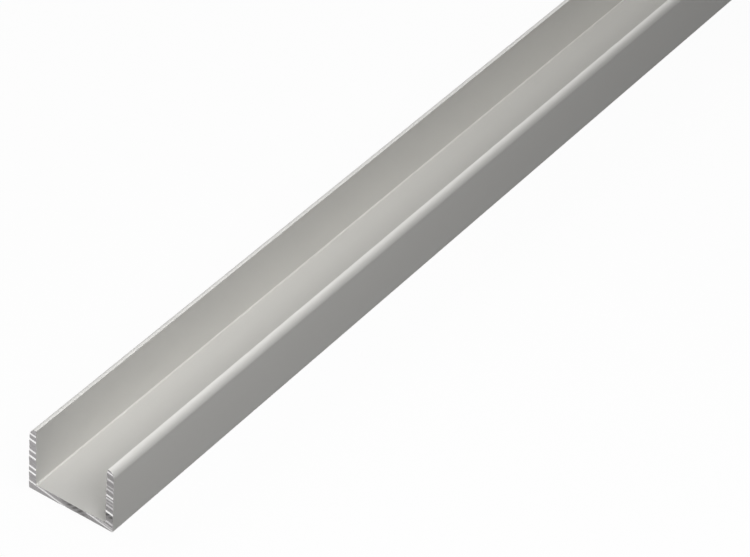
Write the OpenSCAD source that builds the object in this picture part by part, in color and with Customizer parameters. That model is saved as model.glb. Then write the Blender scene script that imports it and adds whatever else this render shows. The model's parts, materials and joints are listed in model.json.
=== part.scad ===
// Aluminium U-channel: one extruded bar with a flat base, two upright legs and sawn ends.
// Millimetres. The bar lies on its base along X, with the origin midway along it on the underside.

/* [Stock] */
// Length the bar is sawn to
stock_length = 1000; // [100:10:3000]

/* [Section] */
// Overall width across the two legs
section_width = 20; // [12:0.5:60]
// Overall height from the underside of the base to the leg tips
section_height = 15; // [8:0.5:60]
// Thickness of the base
base_thickness = 1.5; // [1:0.1:4]
// Thickness of each leg
leg_thickness = 1.5; // [1:0.1:4]

/* [Edges] */
// Radius of the rounded outer edge of each leg tip
tip_radius = 1.35; // [0.2:0.05:3]
// Radius of the edges that look sharp: the heels under the legs and the inner edge of each tip
edge_radius = 0.1; // [0.05:0.05:0.4]
// Fillet where each leg meets the base inside the channel
root_fillet = 0.3; // [0.1:0.05:1]

/* [Hidden] */

// Flat that is left across a leg tip between its outer and inner radius
least_tip_land = 0.05;
// How far a cutter runs past the faces that it cuts
overrun = 1;
arc_steps = 48;

channel_width = section_width - 2 * leg_thickness;
channel_depth = section_height - base_thickness;
// The rounded outer edge never takes more of the leg than the wall has
fitted_tip_radius = min(tip_radius, leg_thickness - edge_radius - least_tip_land);

// What a radius removes from the square corner at the origin of a shape that fills +X and +Y
module corner_cut(radius) {
    difference() {
        translate([-overrun, -overrun]) square(radius + overrun);
        translate([radius, radius]) circle(radius, $fn = arc_steps);
    }
}

// Cuts the two lower corners of a rectangle centred on X that stands on Y = 0
module lower_corner_cuts(width, radius) {
    for (side = [0, 1])
        mirror([side, 0]) translate([-width / 2, 0]) corner_cut(radius);
}

// Rectangle centred on X that stands on Y = 0
module standing_rectangle(width, height) {
    translate([-width / 2, 0]) square([width, height]);
}

// Outside of the section: square heels below, round shoulders at the leg tips
module section_outline() {
    difference() {
        standing_rectangle(section_width, section_height);
        lower_corner_cuts(section_width, edge_radius);
        translate([0, section_height]) mirror([0, 1])
            lower_corner_cuts(section_width, fitted_tip_radius);
    }
}

// The channel between the legs, open at the top, with filleted roots
module channel_space() {
    translate([0, base_thickness]) difference() {
        standing_rectangle(channel_width, channel_depth + overrun);
        lower_corner_cuts(channel_width, root_fillet);
    }
}

// What the small radius takes off the inner edge of each leg tip
module inner_tip_cuts() {
    for (side = [0, 1])
        mirror([side, 0]) translate([channel_width / 2, section_height]) mirror([0, 1])
            corner_cut(edge_radius);
}

module channel_section() {
    difference() {
        section_outline();
        channel_space();
        inner_tip_cuts();
    }
}

module u_channel() {
    color([0.66, 0.655, 0.635])
        translate([-stock_length / 2, 0, 0]) rotate([90, 0, 90])
            linear_extrude(height = stock_length) channel_section();
}

u_channel();
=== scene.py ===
"""Looks of a silver anodised aluminium U-channel bar that was sawn to length.

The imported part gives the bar's box and the height of its channel floor. This script builds the finished
bar in that box, past which only a fine burr reaches, gives it its anodised skin and its bare saw cuts,
and sets it on a pale studio floor under soft light. Lengths are in metres.
"""

import json
import logging
import math
from dataclasses import dataclass, field, replace
from enum import Enum
from typing import ClassVar

import bpy
import numpy as np
from mathutils import Matrix, Vector
from mathutils.geometry import delaunay_2d_cdt


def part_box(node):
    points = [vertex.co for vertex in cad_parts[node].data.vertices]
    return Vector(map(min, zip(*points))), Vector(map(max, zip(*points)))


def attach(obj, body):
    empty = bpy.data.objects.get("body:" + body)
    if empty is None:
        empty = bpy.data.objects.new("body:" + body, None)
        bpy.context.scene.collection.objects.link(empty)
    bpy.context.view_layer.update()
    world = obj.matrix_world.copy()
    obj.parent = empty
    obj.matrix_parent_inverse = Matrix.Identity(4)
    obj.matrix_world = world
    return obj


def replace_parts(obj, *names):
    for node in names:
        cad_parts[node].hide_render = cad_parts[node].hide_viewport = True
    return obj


log = logging.getLogger("u_channel")
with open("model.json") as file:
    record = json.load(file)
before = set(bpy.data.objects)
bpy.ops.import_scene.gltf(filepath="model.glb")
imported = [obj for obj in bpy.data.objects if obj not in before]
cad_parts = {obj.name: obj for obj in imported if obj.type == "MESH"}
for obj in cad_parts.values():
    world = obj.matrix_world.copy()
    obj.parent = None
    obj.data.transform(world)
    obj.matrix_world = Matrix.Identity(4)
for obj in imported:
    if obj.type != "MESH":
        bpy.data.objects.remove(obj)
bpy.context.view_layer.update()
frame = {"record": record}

BAKE_MAP = "OFBake"
SAW_TONE = "saw_tone"
MM = 0.001
SAW_LEAN = math.radians(11.5)
NOISE_MIDDLE = 0.5
Colour = tuple[float, float, float, float]
MapPlace = tuple[float, float]
# A face's corner: its point's number, its normal and its place on the map
Corner = tuple[int, Vector, MapPlace]


class Signal:
    """An output of a shader node. Arithmetic on it adds Math nodes."""

    def __init__(self, sheet: "ShaderSheet", socket: bpy.types.NodeSocket) -> None:
        """Wrap a socket of a sheet's tree."""
        self.sheet = sheet
        self.socket = socket

    def math(self, operation: str, *values: "Signal | float") -> "Signal":
        """Run one Math node.

        Args:
            operation: the node's operation.
            values: the node's inputs in order.

        Returns:
            The node's value.
        """
        return self.sheet.add("ShaderNodeMath", {"operation": operation}, dict(enumerate(values)))

    def __add__(self, other: "Signal | float") -> "Signal":
        """self + other."""
        return self.math("ADD", self, other)

    __radd__ = __add__

    def __sub__(self, other: "Signal | float") -> "Signal":
        """self - other."""
        return self.math("SUBTRACT", self, other)

    def __rsub__(self, other: float) -> "Signal":
        """other - self."""
        return self.math("SUBTRACT", other, self)

    def __mul__(self, other: "Signal | float") -> "Signal":
        """self * other."""
        return self.math("MULTIPLY", self, other)

    __rmul__ = __mul__

    def size(self) -> "Signal":
        """The value without its sign."""
        return self.math("ABSOLUTE", self)

    def root(self) -> "Signal":
        """The square root."""
        return self.math("SQRT", self)


class ShaderSheet:
    """The node tree of a material or of the world, filled one node at a time."""

    # Places of a Mix node's share, of its two colours and of the colour that it gives
    MIX_SHARE: ClassVar[int] = 0
    MIX_LOW: ClassVar[int] = 6
    MIX_HIGH: ClassVar[int] = 7
    MIX_COLOUR: ClassVar[int] = 2

    def __init__(self, owner: bpy.types.Material | bpy.types.World) -> None:
        """Empty the owner's node tree and take it over.

        Args:
            owner: the material or the world.
        """
        owner.use_nodes = True
        self.tree = owner.node_tree
        self.tree.nodes.clear()

    def add(
        self,
        kind: str,
        settings: dict[str, object] | None = None,
        inputs: dict[str | int, object] | None = None,
        output: str | int = 0,
    ) -> Signal | None:
        """Add a node, set it up and link it.

        Args:
            kind: the node's type.
            settings: the node's properties, set first; "stops" holds a colour ramp's (place, colour) pairs.
            inputs: a value or a Signal for each input socket, by name or place.
            output: the socket to return, by name or place.

        Returns:
            The chosen output, or None where the node has no outputs.
        """
        node = self.tree.nodes.new(kind)
        for name, value in (settings or {}).items():
            if name == "stops":
                self._set_stops(node.color_ramp, value)
            else:
                setattr(node, name, value)
        for name, value in (inputs or {}).items():
            if isinstance(value, Signal):
                self.tree.links.new(value.socket, node.inputs[name])
            else:
                node.inputs[name].default_value = value
        return Signal(self, node.outputs[output]) if node.outputs else None

    @staticmethod
    def _set_stops(ramp: bpy.types.ColorRamp, stops: list[tuple[float, Colour]]) -> None:
        """Give a colour ramp its stops.

        Args:
            ramp: the ramp.
            stops: the place and colour of each stop, in order.
        """
        while len(ramp.elements) < len(stops):
            ramp.elements.new(1.0)
        for element, (place, colour) in zip(ramp.elements, stops):
            element.position = place
            element.color = colour

    def object_place(self) -> Signal:
        """The point's place on the object, in metres."""
        return self.add("ShaderNodeTexCoord", output="Object")

    def stretched(self, place: Signal, scale: tuple[float, float, float]) -> Signal:
        """A place with each axis multiplied by its own number."""
        return self.add("ShaderNodeVectorMath", {"operation": "MULTIPLY"}, {0: place, 1: scale})

    def noise(self, place: Signal, detail: float) -> Signal:
        """Noise from 0 to 1 that repeats about once a unit of place."""
        return self.add("ShaderNodeTexNoise", {}, {"Vector": place, "Scale": 1.0, "Detail": detail})

    def part(self, place: Signal, axis: str) -> Signal:
        """One part of a place."""
        return self.add("ShaderNodeSeparateXYZ", {}, {0: place}, output=axis)

    def fade(self, value: Signal, start: float, end: float) -> Signal:
        """0 up to the start and 1 from the end on, with a smooth rise between; either may be the higher."""
        limits = {"Value": value, "From Min": start, "From Max": end}
        return self.add("ShaderNodeMapRange", {"interpolation_type": "SMOOTHSTEP"}, limits)

    def between(self, share: Signal, low: Colour | Signal, high: Colour | Signal) -> Signal:
        """A colour between two others by a share from 0 to 1."""
        inputs = {self.MIX_SHARE: share, self.MIX_LOW: low, self.MIX_HIGH: high}
        return self.add("ShaderNodeMix", {"data_type": "RGBA"}, inputs, output=self.MIX_COLOUR)

    def shown(self) -> Signal:
        """Tell what the camera sees from what only scatters light.

        Returns:
            1 where the camera sees a point, by itself or in a mirror or glass, and 0 for scattered light.
        """
        path = self.add("ShaderNodeLightPath", output="Is Camera Ray")
        rays = path.socket.node.outputs
        return path + Signal(self, rays["Is Glossy Ray"]) + Signal(self, rays["Is Transmission Ray"])

    def surface(self, shader: Signal) -> None:
        """Send a shader to the material's surface."""
        self.add("ShaderNodeOutputMaterial", {}, {"Surface": shader})


@dataclass(frozen=True)
class AnodisedSkin:
    """Satin silver anodising over faint lines that the die drew, with painted highlights along the leg tips,
    which are a little glossier, and along the inner corners.
    """

    name: str = "anodised_skin"
    pale: Colour = (0.741, 0.733, 0.706, 1.0)
    deep: Colour = (0.711, 0.703, 0.677, 1.0)
    # Painted highlight along the inner edge and round of each leg tip
    painted_tip_highlight: Colour = (0.90, 0.891, 0.859, 1.0)
    # Painted highlight along a line on each root fillet
    painted_corner_highlight: Colour = (1.0, 0.99, 0.96, 1.0)
    metallic: float = 0.03
    specular: float = 0.15
    roughness: float = 0.45
    roughness_spread: float = 0.04
    tip_gloss: float = 0.08
    die_line_pitch: float = 0.25 * MM
    die_line_run: float = 400 * MM
    die_line_height: float = 0.0006 * MM
    die_line_strength: float = 0.4
    die_line_detail: float = 3.0
    die_line_share: float = 0.5
    bloom_size: float = 14 * MM
    bloom_detail: float = 2.0
    corner_line: float = 0.28 * MM
    corner_turn: float = math.radians(15)
    tip_depth: float = 1.6 * MM
    tip_reach: float = 1.7 * MM

    def material(self, bar: "UChannelBar") -> bpy.types.Material:
        """Make the skin's material.

        Args:
            bar: the bar that it goes on, whose die lines run along X.

        Returns:
            The material.
        """
        material = bpy.data.materials.new(self.name)
        sheet = ShaderSheet(material)
        place = sheet.object_place()
        lines = 1 / self.die_line_pitch
        drawn_out = sheet.stretched(place, (1 / self.die_line_run, lines, lines))
        drawn = sheet.noise(drawn_out, self.die_line_detail)
        bloom = sheet.noise(sheet.stretched(place, (1 / self.bloom_size,) * 3), self.bloom_detail)
        tone = self.die_line_share * drawn + (1 - self.die_line_share) * bloom
        tip, corner = self._tip_highlight(sheet, place, bar), self._corner_highlight(sheet, place, bar)
        satin = sheet.between(tone, self.deep, self.pale)
        # Painted highlights: the satin colour is lightened towards near white along the leg tips and along a
        # line on each root fillet.
        colour = sheet.between(corner, sheet.between(tip, satin, self.painted_tip_highlight), self.painted_corner_highlight)
        relief = sheet.add(
            "ShaderNodeBump",
            {},
            {"Strength": self.die_line_strength, "Distance": self.die_line_height, "Height": drawn},
        )
        matt = tone * self.roughness_spread + (self.roughness - self.roughness_spread / 2)
        shader = sheet.add(
            "ShaderNodeBsdfPrincipled",
            {},
            {
                "Base Color": colour,
                "Metallic": self.metallic,
                "Specular IOR Level": self.specular,
                "Roughness": matt - tip * self.tip_gloss,
                "Normal": relief,
            },
        )
        sheet.surface(shader)
        return material

    def _tip_highlight(self, sheet: ShaderSheet, place: Signal, bar: "UChannelBar") -> Signal:
        """How much painted highlight a point of a leg tip gets, which also makes it a little glossier.

        Args:
            sheet: the material's sheet.
            place: the point's place on the bar.
            bar: the bar.

        Returns:
            1 along the tip's inner edge, fading to 0 over its rounded outside, and 0 on the leg's inner face.
        """
        aside = sheet.part(place, "Y").size()
        inside = bar.half_width - bar.leg_wall
        inner_edge = inside + bar.edge_radius
        on_top = sheet.fade(sheet.part(place, "Z"), bar.height - self.tip_depth, bar.height)
        past_inner_face = sheet.fade(aside, inside, inner_edge)
        short_of_outside = sheet.fade(aside, inside + self.tip_reach, inner_edge)
        return on_top * past_inner_face * short_of_outside

    def _corner_highlight(self, sheet: ShaderSheet, place: Signal, bar: "UChannelBar") -> Signal:
        """How near a point is to the painted highlight line on a root fillet.

        Args:
            sheet: the material's sheet.
            place: the point's place on the bar.
            bar: the bar.

        Returns:
            1 on the line, fading to 0 beside it.
        """
        corner_y, corner_z = bar.root_point(self.corner_turn)
        beside = sheet.part(place, "Y").size() - corner_y
        above = sheet.part(place, "Z") - corner_z
        return sheet.fade((beside * beside + above * above).root(), self.corner_line, 0.0)


@dataclass(frozen=True)
class SawnMetal:
    """Bare metal as a coarse blade leaves it, with fine scratches between the deeper marks. The marks' bars
    are shinier metal with a painted highlight, and some marks have painted shade below them.
    """

    name: str = "sawn_metal"
    # Colours of the tone: painted shade below marks, plain metal, and the painted highlight on the marks'
    # bars
    painted_shade_colour: Colour = (0.10, 0.095, 0.09, 1.0)
    plain: Colour = (0.74, 0.715, 0.72, 1.0)
    bright: Colour = (0.98, 0.975, 0.97, 1.0)
    metallic: float = 0.3
    roughness: float = 0.26
    roughness_spread: float = 0.12
    scratch_pitch: float = 0.12 * MM
    scratch_run: float = 2.5 * MM
    scratch_height: float = 0.012 * MM
    scratch_strength: float = 0.6
    scratch_detail: float = 4.0
    scratch_share: float = 0.3

    def material(self) -> bpy.types.Material:
        """Make the saw cut's material.

        Returns:
            The material, whose scratches lean with the saw marks and whose colour follows the marks' tone.
        """
        material = bpy.data.materials.new(self.name)
        sheet = ShaderSheet(material)
        turned = sheet.add(
            "ShaderNodeVectorRotate",
            {"rotation_type": "X_AXIS"},
            {"Vector": sheet.object_place(), "Angle": -SAW_LEAN},
        )
        across = 1 / self.scratch_pitch
        stretched = sheet.stretched(turned, (across, 1 / self.scratch_run, across))
        scratches = sheet.noise(stretched, self.scratch_detail)
        relief = sheet.add(
            "ShaderNodeBump",
            {},
            {"Strength": self.scratch_strength, "Distance": self.scratch_height, "Height": scratches},
        )
        marks = sheet.add("ShaderNodeAttribute", {"attribute_name": SAW_TONE}, output="Fac")
        tone = marks + self.scratch_share * (scratches - NOISE_MIDDLE)
        # The tone runs from painted shade at 0 through the plain metal to the bars' painted highlight at 1.
        stops = [(0.0, self.painted_shade_colour), (SawCut.plain_tone, self.plain), (1.0, self.bright)]
        shine = sheet.fade(marks, SawCut.plain_tone, 1.0)
        shader = sheet.add(
            "ShaderNodeBsdfPrincipled",
            {},
            {
                "Base Color": sheet.add("ShaderNodeValToRGB", {"stops": stops}, {0: tone}),
                "Metallic": self.metallic + (1 - self.metallic) * shine,
                "Roughness": scratches * self.roughness_spread + (self.roughness - self.roughness_spread / 2),
                "Normal": relief,
            },
        )
        sheet.surface(shader)
        return material


@dataclass(frozen=True)
class PaleFloor:
    """Matt floor that shows almost white and keeps the bar's shadow, but scatters as little as a dark one."""

    name: str = "pale_floor"
    seen: Colour = (0.90, 0.90, 0.90, 1.0)
    scattering: Colour = (0.06, 0.06, 0.06, 1.0)
    white: Colour = (1.0, 1.0, 1.0, 1.0)
    glow: float = 0.95

    def material(self) -> bpy.types.Material:
        """Make the floor's material.

        Returns:
            The material.
        """
        material = bpy.data.materials.new(self.name)
        sheet = ShaderSheet(material)
        grey = sheet.add("ShaderNodeBsdfDiffuse", {}, {"Color": self.scattering})
        matt = sheet.add("ShaderNodeBsdfDiffuse", {}, {"Color": self.seen})
        white = sheet.add("ShaderNodeEmission", {}, {"Color": self.white, "Strength": 1.0})
        pale = sheet.add("ShaderNodeMixShader", {}, {0: self.glow, 1: matt, 2: white})
        sheet.surface(sheet.add("ShaderNodeMixShader", {}, {0: sheet.shown(), 1: grey, 2: pale}))
        return material


class BarEnd(Enum):
    """The two sawn ends, by the sign of X that their faces look along."""

    FRONT = -1
    BACK = 1

    def by_x(self, outer: "Ring", inner: "Ring") -> tuple["Ring", "Ring"]:
        """Two rings near this end, the one at the lower x first."""
        return (outer, inner) if self is BarEnd.FRONT else (inner, outer)


class Face(Enum):
    """What a face of the bar is made of, by its material's place on the mesh."""

    SKIN = 0
    SAWN = 1


@dataclass(frozen=True)
class Outline:
    """Points round the section, anticlockwise as y and z, with the outward normals there."""

    points: np.ndarray
    normals: np.ndarray

    def along(self) -> np.ndarray:
        """How far round the section each point lies, with the whole way at the end."""
        steps = np.linalg.norm(np.roll(self.points, -1, 0) - self.points, axis=1)
        return np.concatenate([[0], np.cumsum(steps)])

    def outward(self) -> list[Vector]:
        """The normals as directions in space."""
        return [Vector((0, *normal)) for normal in self.normals]


@dataclass(frozen=True)
class Arc:
    """A rounded corner of the section: its centre, its radius, and the degrees at which it starts and ends.

    The shading of a soft corner runs out further than its round.
    """

    y: float
    z: float
    radius: float
    start: float
    end: float
    soft: bool = False
    half_turn: ClassVar[float] = 180

    def mirrored(self) -> "Arc":
        """The same corner on the other leg, passed in the outline's direction."""
        return replace(self, y=-self.y, start=self.half_turn - self.end, end=self.half_turn - self.start)

    def trace(self, spacing: float, least_steps: int) -> Outline:
        """Set points along the corner.

        Args:
            spacing: the widest step between points.
            least_steps: the fewest steps.

        Returns:
            The points and the section's outward normals there.
        """
        steps = max(least_steps, math.ceil(self.radius * math.pi / 2 / spacing))
        turn = np.radians(np.linspace(self.start, self.end, steps + 1))
        spoke = np.stack([np.cos(turn), np.sin(turn)], 1)
        outward = 1 if self.end > self.start else -1
        return Outline(np.array([self.y, self.z]) + self.radius * spoke, outward * spoke)


@dataclass(frozen=True)
class SawMark:
    """A ridge left by one tooth, with a bar of shinier metal along it that also has a painted highlight, and
    sometimes painted shade below.

    It has the height at which the bar meets the +Y side, its strength at the left, which is the +Y side, and
    at the right, and what it is steeper than the other marks. The painted shade below has its middle, its
    reach to both sides, its depth and its share of dark.
    """

    height: float
    left: float
    right: float
    steeper: float = 0.0
    # Where the painted shade below the mark lies, how far it reaches, how deep it runs and how dark it is
    shade_middle: float = 0.0
    shade_reach: float = 0.0
    shade_depth: float = 1.2 * MM
    shade_share: float = 1.0


@dataclass(frozen=True)
class SawCut:
    """The relief of one sawn end: leaning ridges inside the end plane, and a burr on the blade's way out.

    A ridge rises over its undercut and falls across its bar. Each wave of the chatter has a length and a
    share. The mottle breaks the painted shade below marks into specks, the painted side shade darkens the
    plain metal towards the -Y side, and the burr fades by a power away from walls that face +Y and towards
    the leg tips.
    """

    marks: tuple[SawMark, ...]
    ridge_height: float = 0.11 * MM
    bar_width: float = 0.48 * MM
    bar_edge: float = 0.10 * MM
    undercut: float = 1.2 * MM
    chatter: float = 0.004 * MM
    chatter_waves: tuple[tuple[float, float], ...] = ((0.21 * MM, 0.6), (0.37 * MM, 1.0), (0.83 * MM, 1.4))
    mottle_wave: float = 1.15 * MM
    mottle: float = 0.7
    # Painted shade across the cut, darker towards the -Y side
    painted_side_shade: float = 0.3
    rim_wear: float = 0.03 * MM
    burr: float = 0.22 * MM
    burr_fading: float = 4.0
    plain_tone: ClassVar[float] = 0.4
    # Painted shade is left off where a bar's painted highlight is stronger than this
    shine_over_shade: ClassVar[float] = 0.2

    def relief(self, y: np.ndarray, z: np.ndarray, half_width: float) -> tuple[np.ndarray, np.ndarray]:
        """The shape and tone of the cut.

        Args:
            y: places across the bar.
            z: places above the underside.
            half_width: half the bar's width.

        Returns:
            How far the cut lies inside the end plane at each place, and its tone from painted shade 0 to a
            bar's painted highlight 1.
        """
        inward = half_width - y
        across = inward / (2 * half_width)
        level = z + inward * math.tan(SAW_LEAN)
        ridges = shine = painted_shade = np.zeros_like(level)
        for mark in self.marks:
            strength = mark.left + (mark.right - mark.left) * across
            over = level + inward * mark.steeper - mark.height + self.bar_width / 2
            below = np.clip(1 + over / self.undercut, 0, 1) * (over < 0)
            above = np.clip(1 - over / self.bar_width, 0, 1) * (over >= 0)
            ridges = np.maximum(ridges, strength * (below + above))
            from_edge = self.bar_width / 2 - np.abs(over - self.bar_width / 2)
            # Painted highlight across each mark's bar, on top of its real ridge
            shine = np.maximum(shine, strength * np.clip(from_edge / self.bar_edge, 0, 1))
            if mark.shade_reach:
                painted_shade = np.maximum(painted_shade, self._shade_below(mark, y, over))
        ridges, shine = np.minimum(ridges, 1), np.minimum(shine, 1)
        depth = self.ridge_height * (1 - ridges)
        for wave, share in self.chatter_waves:
            depth += self.chatter * share * (1 + np.sin(2 * math.pi * level / wave))
        # Painted shade: the plain metal darkens towards the -Y side.
        plain = self.plain_tone * (1 - self.painted_side_shade * across)
        # The bars' painted highlight lightens the tone, and painted shade below marks darkens it.
        return depth, plain + (1 - plain) * shine - plain * painted_shade * (shine < self.shine_over_shade)

    def _shade_below(self, mark: SawMark, y: np.ndarray, over: np.ndarray) -> np.ndarray:
        """How much painted shade falls below a mark.

        Args:
            mark: the mark.
            y: places across the bar.
            over: how far each place lies above the lower edge of the mark's bar.

        Returns:
            The share of painted shade at each place, which thins out over the outer half of the shaded patch.
        """
        aside = y - mark.shade_middle
        patch = np.clip(2 - 2 * np.abs(aside) / mark.shade_reach, 0, 1)
        deep = np.clip(2 + 2 * over / mark.shade_depth, 0, 1) * (over < 0)
        specks = 1 - self.mottle * (1 - np.cos(2 * math.pi * (aside + over) / self.mottle_wave)) / 2
        return mark.shade_share * patch * deep * specks

    def drag(self, outline: Outline, height: float) -> np.ndarray:
        """How far the blade dragged the rim of the cut.

        Args:
            outline: the section's outline.
            height: the bar's height.

        Returns:
            The burr at each point, as its y and z.
        """
        facing = np.clip(outline.normals[:, 0], 0, 1) ** self.burr_fading
        fading = 1 - (outline.points[:, 1] / height) ** self.burr_fading
        return np.outer(self.burr * facing * fading, (1, 0))


# The marks of the two cuts, some with painted shade below them
FRONT_CUT = SawCut(
    (
        SawMark(1.87 * MM, 0.75, 0.3, steeper=0.015),
        SawMark(
            height=4.33 * MM, left=1.05, right=0.6,
            shade_middle=-0.6 * MM, shade_reach=3.6 * MM, shade_depth=1.9 * MM, shade_share=0.95,
        ),
        SawMark(4.85 * MM, 0.0, 0.45),
        SawMark(5.68 * MM, 1.1, 0.55, steeper=-0.006),
        SawMark(
            height=8.24 * MM, left=1.15, right=0.95, steeper=-0.006,
            shade_middle=-9.1 * MM, shade_reach=3.0 * MM, shade_depth=1.6 * MM,
        ),
        SawMark(9.78 * MM, 0.8, 0.52, steeper=-0.006),
        SawMark(10.8 * MM, 0.1, 0.35),
        SawMark(11.7 * MM, 0.1, 0.62),
        SawMark(12.45 * MM, 0.95, 0.8),
        SawMark(13.85 * MM, 0.8, 0.52, steeper=-0.008),
        SawMark(14.9 * MM, 0.2, 0.35),
        SawMark(16.52 * MM, 0.7, 0.6),
        SawMark(18.28 * MM, 0.6, 0.75),
    )
)
BACK_CUT = SawCut(
    (
        SawMark(1.0 * MM, 0.5, 0.6),
        SawMark(2.9 * MM, 0.8, 0.7),
        SawMark(4.7 * MM, 0.6, 0.7),
        SawMark(6.1 * MM, 0.95, 0.9, shade_middle=7.8 * MM, shade_reach=3.0 * MM),
        SawMark(8.8 * MM, 0.55, 0.7),
        SawMark(10.1 * MM, 0.9, 0.8),
        SawMark(12.5 * MM, 0.4, 0.6),
        SawMark(13.8 * MM, 0.7, 0.9),
        SawMark(16.0 * MM, 0.85, 0.7),
        SawMark(17.4 * MM, 0.5, 0.6),
    )
)


@dataclass(frozen=True)
class BakeLayout:
    """Where the bar's faces go on its texture map: the skin unrolled below, the two cut faces above."""

    half_length: float
    half_width: float
    plain_from: float
    way_round: float
    margin: float = 0.01
    skin_height: float = 0.55
    rim_share: float = 0.03
    cut_width: float = 0.47
    cut_bottom: float = 0.58
    back_cut_shift: float = 0.5

    def skin_place(self, x: float, along: float) -> MapPlace:
        """The map place of a point of the skin.

        Args:
            x: the point's place along the bar.
            along: how far round the section it lies.

        Returns:
            Its place on the map, where the stretches beside the ends get more room than their length.
        """
        plain = self.half_length - self.plain_from
        stops = (-self.half_length, -plain, plain, self.half_length)
        u = np.interp(x, stops, (0, self.rim_share, 1 - self.rim_share, 1))
        v = along / self.way_round * self.skin_height
        return self.margin + u * (1 - 2 * self.margin), self.margin + v

    def cut_places(self, flat: np.ndarray, end: BarEnd) -> list[MapPlace]:
        """The map places of points on a cut face.

        Args:
            flat: the points' y and z.
            end: which end.

        Returns:
            A place for each point.
        """
        scale = self.cut_width / (2 * self.half_width)
        middle = self.margin + self.cut_width / 2 + (self.back_cut_shift if end is BarEnd.BACK else 0)
        return [(middle + y * scale, self.cut_bottom + z * scale) for y, z in flat]


@dataclass(frozen=True)
class Ring:
    """Mesh points round the section near one place along the bar.

    They have their numbers, their x, their normals and how far round the section they lie, with the whole
    way at the end. The layout gives their places on the map.
    """

    numbers: list[int]
    x: np.ndarray
    normals: list[Vector]
    along: np.ndarray
    layout: BakeLayout

    def corner(self, i: int) -> Corner:
        """A face's corner at one of the points; the one after the last is the first again."""
        k = i % len(self.numbers)
        return self.numbers[k], self.normals[k], self.layout.skin_place(self.x[k], self.along[i])


@dataclass
class MeshDraft:
    """Points and faces of a mesh, with each face's material, and each corner's normal and map place."""

    points: list[tuple[float, float, float]] = field(default_factory=list)
    tones: list[float] = field(default_factory=list)
    faces: list[tuple[int, ...]] = field(default_factory=list)
    kinds: list[Face] = field(default_factory=list)
    normals: list[Vector] = field(default_factory=list)
    places: list[MapPlace] = field(default_factory=list)

    def add_points(self, points: np.ndarray, tones: np.ndarray | None = None) -> list[int]:
        """Add points.

        Args:
            points: their x, y and z.
            tones: a saw cut's tone at each, for points on one.

        Returns:
            The points' numbers.
        """
        first = len(self.points)
        self.points.extend(map(tuple, points))
        self.tones.extend(np.full(len(points), SawCut.plain_tone) if tones is None else tones)
        return list(range(first, first + len(points)))

    def add_face(self, corners: list[Corner], kind: Face) -> None:
        """Add a face.

        Args:
            corners: its corners, anticlockwise from outside.
            kind: what it is made of.
        """
        numbers, normals, places = zip(*corners)
        self.faces.append(numbers)
        self.normals.extend(normals)
        self.places.extend(places)
        self.kinds.append(kind)

    def join(self, low: Ring, high: Ring, kind: Face) -> None:
        """Add the faces between two rings that have as many points.

        Args:
            low: the ring at the lower x.
            high: the ring at the higher x.
            kind: what the faces are made of.
        """
        for i in range(len(low.numbers)):
            self.add_face([low.corner(i + 1), high.corner(i + 1), high.corner(i), low.corner(i)], kind)

    def to_object(self, name: str, materials: list[bpy.types.Material]) -> bpy.types.Object:
        """Make the mesh object.

        Args:
            name: the object's name.
            materials: one for each kind of face, in order.

        Returns:
            The object, linked to the scene.
        """
        mesh = bpy.data.meshes.new(name)
        mesh.from_pydata(self.points, [], self.faces)
        for material in materials:
            mesh.materials.append(material)
        mesh.polygons.foreach_set("material_index", [kind.value for kind in self.kinds])
        mesh.shade_smooth()
        layer = mesh.uv_layers.new(name=BAKE_MAP)
        layer.data.foreach_set("uv", np.array(self.places, np.float32).ravel())
        mesh.attributes.new(SAW_TONE, "FLOAT", "POINT").data.foreach_set("value", self.tones)
        mesh.normals_split_custom_set(self.normals)
        made = bpy.data.objects.new(name, mesh)
        bpy.context.scene.collection.objects.link(made)
        return made


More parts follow.
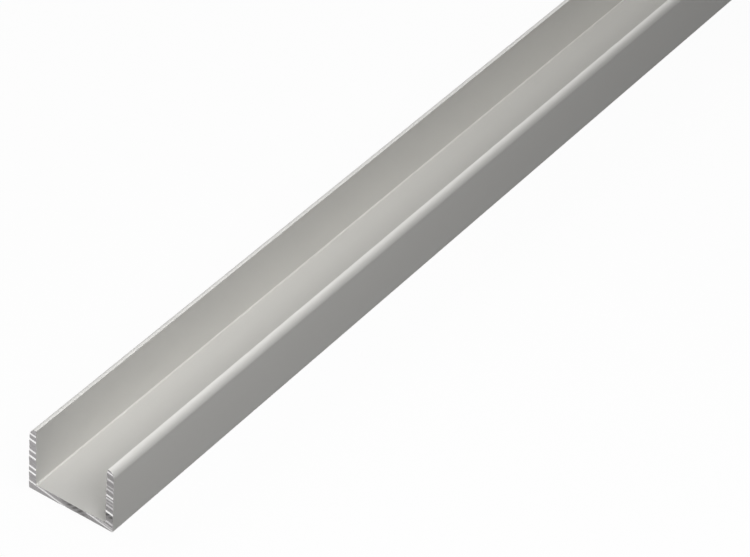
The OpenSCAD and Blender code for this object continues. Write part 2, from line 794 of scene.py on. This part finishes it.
@dataclass
class UChannelBar:
    """The extruded bar: one U section drawn along X, with a saw cut at each end."""

    node: str = "u_channel"
    name: str = "channel_bar"
    slot: str = "anodised_aluminium"
    leg_wall: float = 1.5 * MM
    tip_radius: float = 1.35 * MM
    tip_blend: float = 1.75 * MM
    edge_radius: float = 0.1 * MM
    root_fillet: float = 0.3 * MM
    arc_spacing: float = 0.09 * MM
    least_arc_steps: int = 6
    rim_spacing: float = 0.1 * MM
    row_spacing: float = 0.05 * MM
    column_spacing: float = 0.2 * MM
    grid_margin: float = 0.06 * MM
    bevel_run: float = 0.06 * MM
    rim_band: float = 0.7 * MM
    plain_from: float = 2.5 * MM
    station_spacing: float = 25 * MM
    cuts: dict[BarEnd, SawCut] = field(
        default_factory=lambda: {BarEnd.FRONT: FRONT_CUT, BarEnd.BACK: BACK_CUT}
    )

    def __post_init__(self) -> None:
        """Take the bar's box and the thickness of its base from the frame."""
        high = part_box(self.node)[1]
        mounts = {mount["name"]: Vector(mount["pos_m"]) for mount in frame["record"]["mounts"]}
        self.half_length = high.x
        self.half_width = high.y
        self.height = high.z
        self.base_wall = mounts["channel_floor"].z

    def root_point(self, turn: float) -> tuple[float, float]:
        """A point on the +Y root fillet.

        Args:
            turn: its turn from the leg down to the base.

        Returns:
            Its y and z.
        """
        middle_y = self.half_width - self.leg_wall - self.root_fillet
        middle_z = self.base_wall + self.root_fillet
        return middle_y + self.root_fillet * math.cos(turn), middle_z - self.root_fillet * math.sin(turn)

    def arcs(self) -> list[Arc]:
        """The section's rounded corners.

        Returns:
            The corners in order round the section, up the +Y leg first.
        """
        tip, edge, root = self.tip_radius, self.edge_radius, self.root_fillet
        inside = self.half_width - self.leg_wall
        left_leg = [
            Arc(self.half_width - edge, edge, edge, -90, 0),
            Arc(self.half_width - tip, self.height - tip, tip, 0, 90, soft=True),
            Arc(inside + edge, self.height - edge, edge, 90, 180),
            Arc(inside - root, self.base_wall + root, root, 0, -90),
        ]
        return left_leg + [arc.mirrored() for arc in reversed(left_leg)]

    def section(self) -> Outline:
        """Draw the section.

        Returns:
            Its outline, with points only where its shape or its shading bends.
        """
        corners = []
        for arc in self.arcs():
            traced = arc.trace(self.arc_spacing, self.least_arc_steps)
            corners.append(self._blend_tip(traced) if arc.soft else traced)
        points = np.concatenate([corner.points for corner in corners])
        return Outline(points, np.concatenate([corner.normals for corner in corners]))

    def _blend_tip(self, tip: Outline) -> Outline:
        """Let the shading of a tip's round run out softly down the outside of its leg.

        Args:
            tip: the round.

        Returns:
            The round, with points added on the leg's outside and with soft normals.
        """
        outer = tip.points[np.argmin(tip.points[:, 1])]
        heights = np.arange(self.height - self.tip_blend, outer[1] - self.arc_spacing / 2, self.arc_spacing)
        outside = np.column_stack([np.full(len(heights), outer[0]), heights])
        points = np.concatenate([outside, tip.points] if outer[0] > 0 else [tip.points, outside[::-1]])
        up = np.clip(1 - (self.height - points[:, 1]) / self.tip_blend, 0, 1)
        return Outline(points, np.column_stack([np.sign(outer[0]) * np.sqrt(1 - up**2), up]))

    def _divide(self, outline: Outline) -> tuple[Outline, list[int]]:
        """Divide the flats of an outline finely.

        Args:
            outline: the section's outline.

        Returns:
            The divided outline, and where each of the first points is in it.
        """
        points, normals, places = [], [], []
        ends = np.roll(outline.points, -1, 0)
        for start, end, normal in zip(outline.points, ends, outline.normals):
            steps = max(1, math.ceil(np.linalg.norm(end - start) / self.rim_spacing))
            places.append(len(points))
            for step in range(steps):
                points.append(start + (end - start) * step / steps)
                normals.append(normal)
        return Outline(np.array(points), np.array(normals)), places

    def build(self, materials: list[bpy.types.Material]) -> bpy.types.Object:
        """Build the bar.

        Args:
            materials: the skin's and the saw cuts' materials.

        Returns:
            The bar, riding on the part's only body in the place of its solid.
        """
        draft = MeshDraft()
        outline = self.section()
        layout = BakeLayout(self.half_length, self.half_width, self.plain_from, outline.along()[-1])
        ends = {end: self._saw(draft, layout, outline, end) for end in BarEnd}
        self._draw(draft, layout, outline, ends)
        bar = draft.to_object(self.name, materials)
        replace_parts(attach(bar, "root"), self.node)
        return bar

    @staticmethod
    def _ring(draft: MeshDraft, layout: BakeLayout, outline: Outline, x: float) -> Ring:
        """Add an outline's points at one place along the bar.

        Args:
            draft: the mesh to add to.
            layout: where faces go on the map.
            outline: the outline.
            x: the place.

        Returns:
            The points' ring.
        """
        xs = np.full(len(outline.points), x)
        numbers = draft.add_points(np.column_stack([xs, outline.points]))
        return Ring(numbers, xs, outline.outward(), outline.along(), layout)

    def _saw(self, draft: MeshDraft, layout: BakeLayout, outline: Outline, end: BarEnd) -> Ring:
        """Build one sawn end: its cut face, its worn rim, its burr and the skin beside it.

        Args:
            draft: the mesh to add to.
            layout: where faces go on the map.
            outline: the section's outline.
            end: which end.

        Returns:
            The ring where the plain skin starts.
        """
        cut = self.cuts[end]
        fine, places = self._divide(outline)
        lip = fine.points + cut.drag(fine, self.height)
        rim_points, rim_x = self._cut_face(draft, layout, lip - fine.normals * cut.rim_wear, end)
        lip_x = rim_x - end.value * self.bevel_run
        lip_points = draft.add_points(np.column_stack([lip_x, lip]))
        band = self._ring(draft, layout, fine, end.value * (self.half_length - self.rim_band))
        plain = self._ring(draft, layout, outline, end.value * (self.half_length - self.plain_from))
        facing = Vector((end.value, 0, 0))
        tilted = [(facing + normal).normalized() for normal in band.normals]
        worn_rim = Ring(rim_points, rim_x, tilted, band.along, layout)
        worn_lip = Ring(lip_points, lip_x, tilted, band.along, layout)
        draft.join(*end.by_x(worn_rim, worn_lip), Face.SAWN)
        draft.join(*end.by_x(replace(worn_lip, normals=band.normals), band), Face.SKIN)
        self._spread(draft, band, plain, places, end)
        return plain

    def _cut_face(
        self, draft: MeshDraft, layout: BakeLayout, rim: np.ndarray, end: BarEnd
    ) -> tuple[list[int], np.ndarray]:
        """Build the face of a saw cut.

        Args:
            draft: the mesh to add to.
            layout: where faces go on the map.
            rim: the y and z of the face's outline.
            end: which end.

        Returns:
            The numbers of the outline's points, and their x.
        """
        cut = self.cuts[end]
        flat, triangles = self._triangulate(rim, self._grid_inside())
        depth, tones = cut.relief(*flat.T, self.half_width)
        x = end.value * (self.half_length - depth)
        numbers = draft.add_points(np.column_stack([x, flat]), tones)
        corners = list(zip(numbers, self._lean_of(cut, flat, end), layout.cut_places(flat, end)))
        for triangle in triangles:
            order = triangle if end is BarEnd.BACK else triangle[::-1]
            draft.add_face([corners[i] for i in order], Face.SAWN)
        count = len(rim)
        return numbers[:count], x[:count]

    @staticmethod
    def _spread(draft: MeshDraft, fine: Ring, plain: Ring, places: list[int], end: BarEnd) -> None:
        """Join the finely divided ring near an end to the plain ring further in.

        Args:
            draft: the mesh to add to.
            fine: the fine ring.
            plain: the plain ring.
            places: where each plain point is on the fine ring.
            end: which end.
        """
        for i, (first, last) in enumerate(zip(places, [*places[1:], len(fine.numbers)])):
            middle = (first + last) // 2
            here, there = plain.corner(i), plain.corner(i + 1)
            triangles = [[fine.corner(k), here, fine.corner(k + 1)] for k in range(first, middle)]
            triangles.append([fine.corner(middle), here, there])
            triangles += [[fine.corner(k), there, fine.corner(k + 1)] for k in range(middle, last)]
            for corners in triangles:
                draft.add_face(corners if end is BarEnd.BACK else corners[::-1], Face.SKIN)

    def _draw(
        self, draft: MeshDraft, layout: BakeLayout, outline: Outline, ends: dict[BarEnd, Ring]
    ) -> None:
        """Build the plain skin between the two ends.

        Args:
            draft: the mesh to add to.
            layout: where faces go on the map.
            outline: the section's outline.
            ends: the ring at each end where the plain skin starts.
        """
        reach = self.half_length - self.plain_from
        stations = np.linspace(-reach, reach, round(2 * reach / self.station_spacing) + 1)
        between = [self._ring(draft, layout, outline, x) for x in stations[1:-1]]
        rings = [ends[BarEnd.FRONT], *between, ends[BarEnd.BACK]]
        for low, high in zip(rings, rings[1:]):
            draft.join(low, high, Face.SKIN)

    def _grid_inside(self) -> np.ndarray:
        """Set points inside the section, in rows that lean with the saw marks.

        Returns:
            The points' y and z.
        """
        slope = math.tan(SAW_LEAN)
        ys = np.arange(-self.half_width, self.half_width, self.column_spacing)
        rise = 2 * self.half_width * slope
        levels = np.arange(0, self.height + rise, self.row_spacing)
        y, level = np.meshgrid(ys, levels)
        z = level + (y - self.half_width) * slope
        grid = np.column_stack([y.ravel(), z.ravel()])
        return grid[self._inside_section(grid)]

    def _inside_section(self, grid: np.ndarray) -> np.ndarray:
        """Which points lie inside the section and clear of its outline.

        Args:
            grid: points' y and z.

        Returns:
            True for each point inside.
        """
        margin = self.grid_margin
        y, z = np.abs(grid[:, 0]), grid[:, 1]
        inside = (y < self.half_width - margin) & (z > margin) & (z < self.height - margin)
        channel_edge = self.half_width - self.leg_wall
        inside &= ~((y < channel_edge + margin) & (z > self.base_wall - margin))
        tip = np.array([self.half_width - self.tip_radius, self.height - self.tip_radius])
        over_tip = (y > tip[0]) & (z > tip[1])
        return inside & ~(over_tip & (np.hypot(y - tip[0], z - tip[1]) > self.tip_radius - margin))

    @staticmethod
    def _triangulate(rim: np.ndarray, inner: np.ndarray) -> tuple[np.ndarray, list[list[int]]]:
        """Fill a rim with triangles.

        Args:
            rim: the outline's y and z, anticlockwise.
            inner: points inside it.

        Returns:
            All points, the rim's first, and the triangles.
        """
        scale = 1 / MM
        keep_inside = 1
        merged_within = 1e-6
        flat = np.concatenate([rim, inner]) * scale
        edges = [(i, (i + 1) % len(rim)) for i in range(len(rim))]
        made = delaunay_2d_cdt([Vector(point) for point in flat], edges, [], keep_inside, merged_within)
        points = np.array([tuple(point) for point in made[0]]) / scale
        return points, [list(triangle) for triangle in made[2]]

    def _lean_of(self, cut: SawCut, flat: np.ndarray, end: BarEnd) -> list[Vector]:
        """Outward normals of a saw cut's relief.

        Args:
            cut: the saw cut.
            flat: places on the end, y and z.
            end: which end.

        Returns:
            A normal for each place.
        """
        nudge = self.row_spacing / 2
        y, z = flat.T
        by_y = cut.relief(y + nudge, z, self.half_width)[0] - cut.relief(y - nudge, z, self.half_width)[0]
        by_z = cut.relief(y, z + nudge, self.half_width)[0] - cut.relief(y, z - nudge, self.half_width)[0]
        run = 2 * nudge
        return [Vector((end.value, dy / run, dz / run)).normalized() for dy, dz in zip(by_y, by_z)]


@dataclass(frozen=True)
class Softbox:
    """A rectangular soft lamp, aimed at a point."""

    name: str
    centre: tuple[float, float, float]
    aim: tuple[float, float, float]
    length: float
    width: float
    watts: float

    def place(self) -> bpy.types.Object:
        """Make the lamp and aim it.

        Returns:
            The lamp, which the camera doesn't see.
        """
        data = bpy.data.lights.new(self.name, "AREA")
        data.shape = "RECTANGLE"
        data.size = self.length
        data.size_y = self.width
        data.energy = self.watts
        lamp = bpy.data.objects.new(self.name, data)
        lamp.location = self.centre
        lamp.rotation_euler = (Vector(self.aim) - Vector(self.centre)).to_track_quat("-Z", "Y").to_euler()
        lamp.visible_camera = False
        bpy.context.scene.collection.objects.link(lamp)
        return lamp


@dataclass
class Studio:
    """Pale floor, soft lamps and the camera."""

    floor_size: float = 400.0
    farthest_sight: float = 1600.0
    room_level: float = 0.05
    lens_mm: float = 165.055
    sensor_mm: float = 36.0
    stand_off: tuple[float, float, float] = (-0.37907, -0.29934, 0.44271)
    heading: float = math.radians(31.887)
    dip: float = math.radians(38.437)
    roll: float = math.radians(4.611)
    lamps: tuple[Softbox, ...] = (
        Softbox("overhead_strip", (0.0, -0.02, 0.70), (0.0, 0.0, 0.0), length=1.6, width=0.4, watts=1.46),
        Softbox("side_strip", (0.0, 0.54, 0.45), (0.0, 0.0, 0.0), length=1.6, width=0.4, watts=2.75),
        Softbox("near_key", (-0.539, -0.145, 0.26), (-0.5, 0.0, 0.0), length=0.25, width=0.25, watts=0.6),
        Softbox("far_fill", (0.42, -0.35, 0.30), (0.42, 0.0, 0.0), length=0.6, width=0.2, watts=0.75),
    )

    def build(self, front: Vector) -> None:
        """Build the studio.

        Args:
            front: the middle of the underside at the bar's front end.
        """
        self._lay_floor()
        self._fill_room()
        for lamp in self.lamps:
            lamp.place()
        self._set_camera(front)
        bpy.context.scene.view_settings.view_transform = "Standard"

    def _lay_floor(self) -> None:
        """Lay the floor under the bar."""
        half = self.floor_size / 2
        corners = [(-half, -half, 0), (half, -half, 0), (half, half, 0), (-half, half, 0)]
        mesh = bpy.data.meshes.new("floor")
        mesh.from_pydata(corners, [], [(0, 1, 2, 3)])
        mesh.materials.append(PaleFloor().material())
        floor = bpy.data.objects.new("floor", mesh)
        bpy.context.scene.collection.objects.link(floor)

    def _fill_room(self) -> None:
        """Fill the room with even light."""
        world = bpy.data.worlds.new("room")
        bpy.context.scene.world = world
        sheet = ShaderSheet(world)
        level = (self.room_level,) * 3 + (1.0,)
        light = sheet.add("ShaderNodeBackground", {}, {"Color": level})
        sheet.add("ShaderNodeOutputWorld", {}, {"Surface": light})

    def _set_camera(self, front: Vector) -> None:
        """Stand the camera off the bar's front end.

        Args:
            front: the middle of the underside at the bar's front end.
        """
        data = bpy.data.cameras.new("camera")
        data.sensor_width = self.sensor_mm
        data.lens = self.lens_mm
        data.clip_end = self.farthest_sight
        camera = bpy.data.objects.new("camera", data)
        stand = Matrix.Translation(front + Vector(self.stand_off))
        quarter = math.pi / 2
        for angle, axis in ((self.heading - quarter, "Z"), (quarter - self.dip, "X"), (self.roll, "Z")):
            stand = stand @ Matrix.Rotation(angle, len(stand), axis)
        camera.matrix_world = stand
        bpy.context.scene.collection.objects.link(camera)
        bpy.context.scene.camera = camera


def main() -> None:
    """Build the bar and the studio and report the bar."""
    logging.basicConfig(level=logging.INFO, format="%(name)s: %(message)s")
    bar = UChannelBar()
    made = bar.build([AnodisedSkin().material(bar), SawnMetal().material()])
    log.info("%s: %d points, %d faces", made.name, len(made.data.vertices), len(made.data.polygons))
    Studio().build(Vector((-bar.half_length, 0, 0)))


if __name__ == "__main__":
    main()
